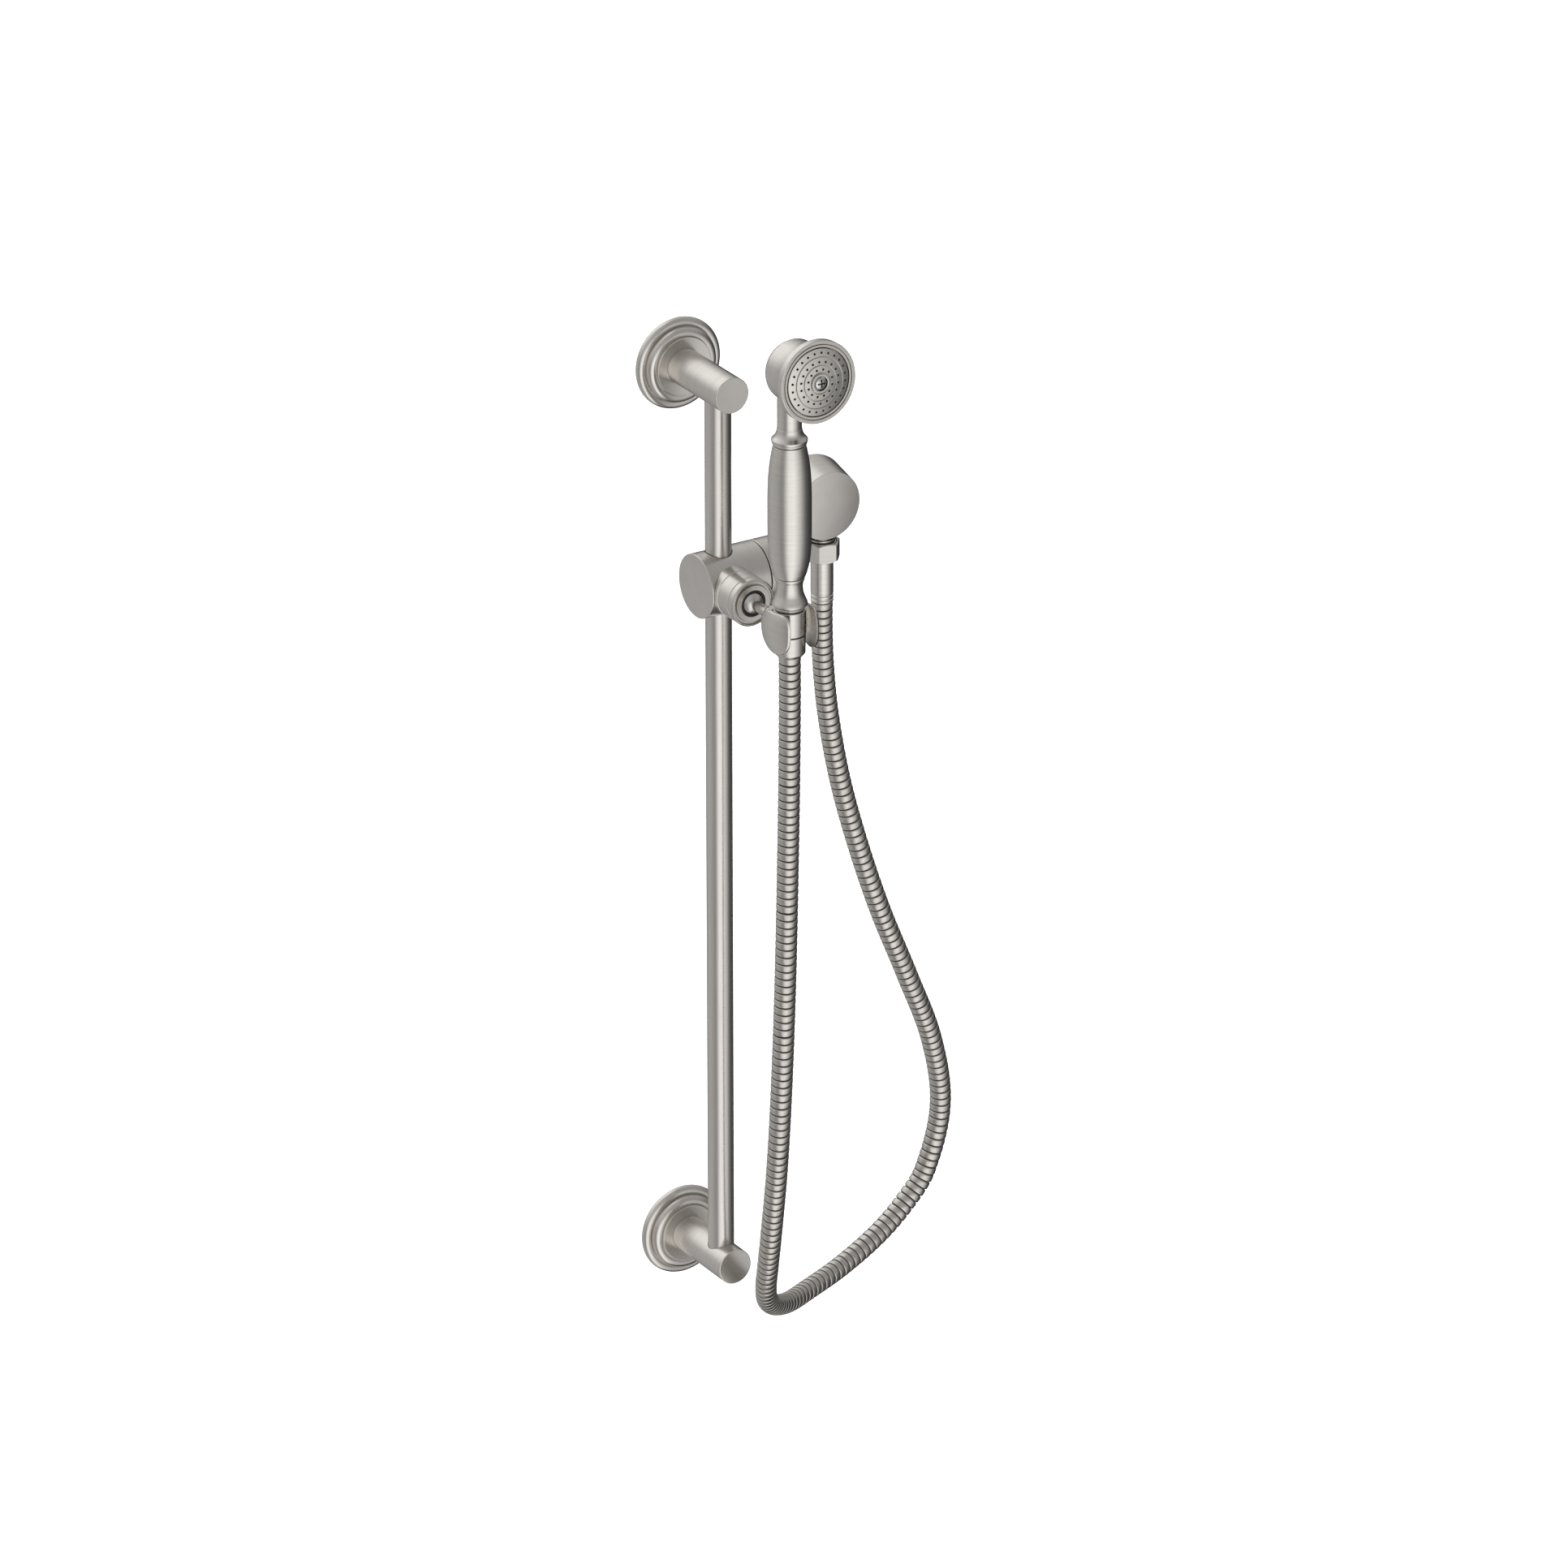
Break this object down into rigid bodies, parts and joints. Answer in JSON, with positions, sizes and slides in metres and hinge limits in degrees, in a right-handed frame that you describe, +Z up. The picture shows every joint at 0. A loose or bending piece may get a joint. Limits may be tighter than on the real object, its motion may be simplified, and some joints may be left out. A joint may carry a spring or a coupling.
{
  "type": "handshower slide rail kit",
  "caption": "Wall-mounted slide rail with a sliding, ball-jointed cradle, a straight-handled round handshower, its metal hose and a round wall supply elbow.",
  "frame": {"origin": "centre of the upper wall plate's back face, on the wall's surface", "axes": "+Z up along the rail, +X to the right for someone facing the wall, +Y into the wall"},
  "size_m": [0.2449, 0.2136, 0.8178],
  "materials": {
    "brushed_nickel": "satin brushed nickel plating",
    "raw_brass": "machined",
    "screw_steel": "plain stainless steel",
    "seal_rubber": "matt",
    "moulded_plastic": "moulded",
    "hose_cover": "interlocked metal strip over a rubber liner, satin nickel"
  },
  "bodies": {
    "root": {"rail_tube": "brushed_nickel", "upper_post": "brushed_nickel", "lower_post": "brushed_nickel", "upper_flange": "brushed_nickel", "lower_flange": "brushed_nickel", "upper_wall_plate": "raw_brass", "lower_wall_plate": "raw_brass", "upper_wall_screw_left": "screw_steel", "upper_wall_screw_right": "screw_steel", "lower_wall_screw_left": "screw_steel", "lower_wall_screw_right": "screw_steel", "upper_grub_screw": "screw_steel", "lower_grub_screw": "screw_steel", "elbow_body": "brushed_nickel", "outlet_nipple": "brushed_nickel", "valve_cartridge": "moulded_plastic", "valve_spring": "screw_steel", "hose_hex_nut": "brushed_nickel", "hose_washer": "seal_rubber", "hose_ferrule": "brushed_nickel", "hose_wall_run": "hose_cover"},
    "poppet": {"valve_poppet": "moulded_plastic"},
    "guides": {"guide_ring_upper": "moulded_plastic", "guide_ring_lower": "moulded_plastic", "hose_turn_run": "hose_cover"},
    "slider": {"slider_barrel": "brushed_nickel", "socket_housing": "brushed_nickel", "socket_ring": "brushed_nickel", "ball_seat": "seal_rubber", "hose_swing_run": "hose_cover"},
    "lock_knob": {"lock_knob": "brushed_nickel", "lock_spindle": "raw_brass"},
    "clamp_pad": {"clamp_pad": "moulded_plastic"},
    "ball": {"ball": "brushed_nickel", "hose_tilt_run": "hose_cover"},
    "stud": {"ball_stud": "brushed_nickel", "hose_roll_run": "hose_cover"},
    "cradle": {"cradle": "brushed_nickel", "hose_lift_run": "hose_cover"},
    "hose_end": {"hose_swivel_sleeve": "brushed_nickel"},
    "handset": {"tail_nut": "brushed_nickel", "tail_washer": "seal_rubber", "flow_restrictor": "moulded_plastic", "tail_fitting": "brushed_nickel", "lower_collar": "brushed_nickel", "grip_sleeve": "brushed_nickel", "upper_collar": "brushed_nickel", "water_tube": "moulded_plastic", "head_casting": "brushed_nickel", "face_seal": "seal_rubber", "spray_plate": "brushed_nickel", "face_screw": "screw_steel"}
  },
  "joints": [
    {"name": "slider_height", "type": "slide", "parent": "root", "child": "guides", "axis": [0, 0, 1], "range_m": [-0.494, 0.098], "deforming": ["hose_wall_run"]},
    {"name": "slider_turn", "type": "hinge", "parent": "guides", "child": "slider", "pos_m": [0, -0.058, -0.148], "axis": [0, 0, 1], "range_deg": [-50, 50], "deforming": ["hose_turn_run"]},
    {"name": "lock_knob_turn", "type": "hinge", "parent": "slider", "child": "lock_knob", "pos_m": [0.03, -0.058, -0.148], "axis": [1, 0, 0], "range_deg": [0, 270]},
    {"name": "clamp_pad_slide", "type": "slide", "parent": "slider", "child": "clamp_pad", "axis": [1, 0, 0], "range_m": [0, 0.00094]},
    {"name": "ball_swing", "type": "hinge", "parent": "slider", "child": "ball", "pos_m": [0, -0.1015, -0.148], "axis": [0, 0, 1], "range_deg": [-20, 20], "deforming": ["hose_swing_run"]},
    {"name": "ball_tilt", "type": "hinge", "parent": "ball", "child": "stud", "pos_m": [0, -0.1015, -0.148], "axis": [1, 0, 0], "range_deg": [-15, 20], "deforming": ["hose_tilt_run"]},
    {"name": "cradle_roll", "type": "hinge", "parent": "stud", "child": "cradle", "pos_m": [0, -0.1015, -0.148], "axis": [0, 1, 0], "range_deg": [-20, 20], "deforming": ["hose_roll_run"]},
    {"name": "handset_lift", "type": "slide", "parent": "cradle", "child": "hose_end", "axis": [0, 0, 1], "range_m": [0, 0.04], "deforming": ["hose_lift_run"]},
    {"name": "handset_turn", "type": "hinge", "parent": "hose_end", "child": "handset", "pos_m": [0, -0.15425, -0.1527], "axis": [0, 0, 1], "continuous": true},
    {"name": "valve_open", "type": "slide", "parent": "root", "child": "poppet", "axis": [0, 0, -1], "range_m": [0, 0.003], "stiffness_N_per_m": 200, "deforming": ["valve_spring"]}
  ],
  "couplings": [
    {"joint": "clamp_pad_slide", "follows": "lock_knob_turn", "m_per_rad": 0.00019894}
  ]
}
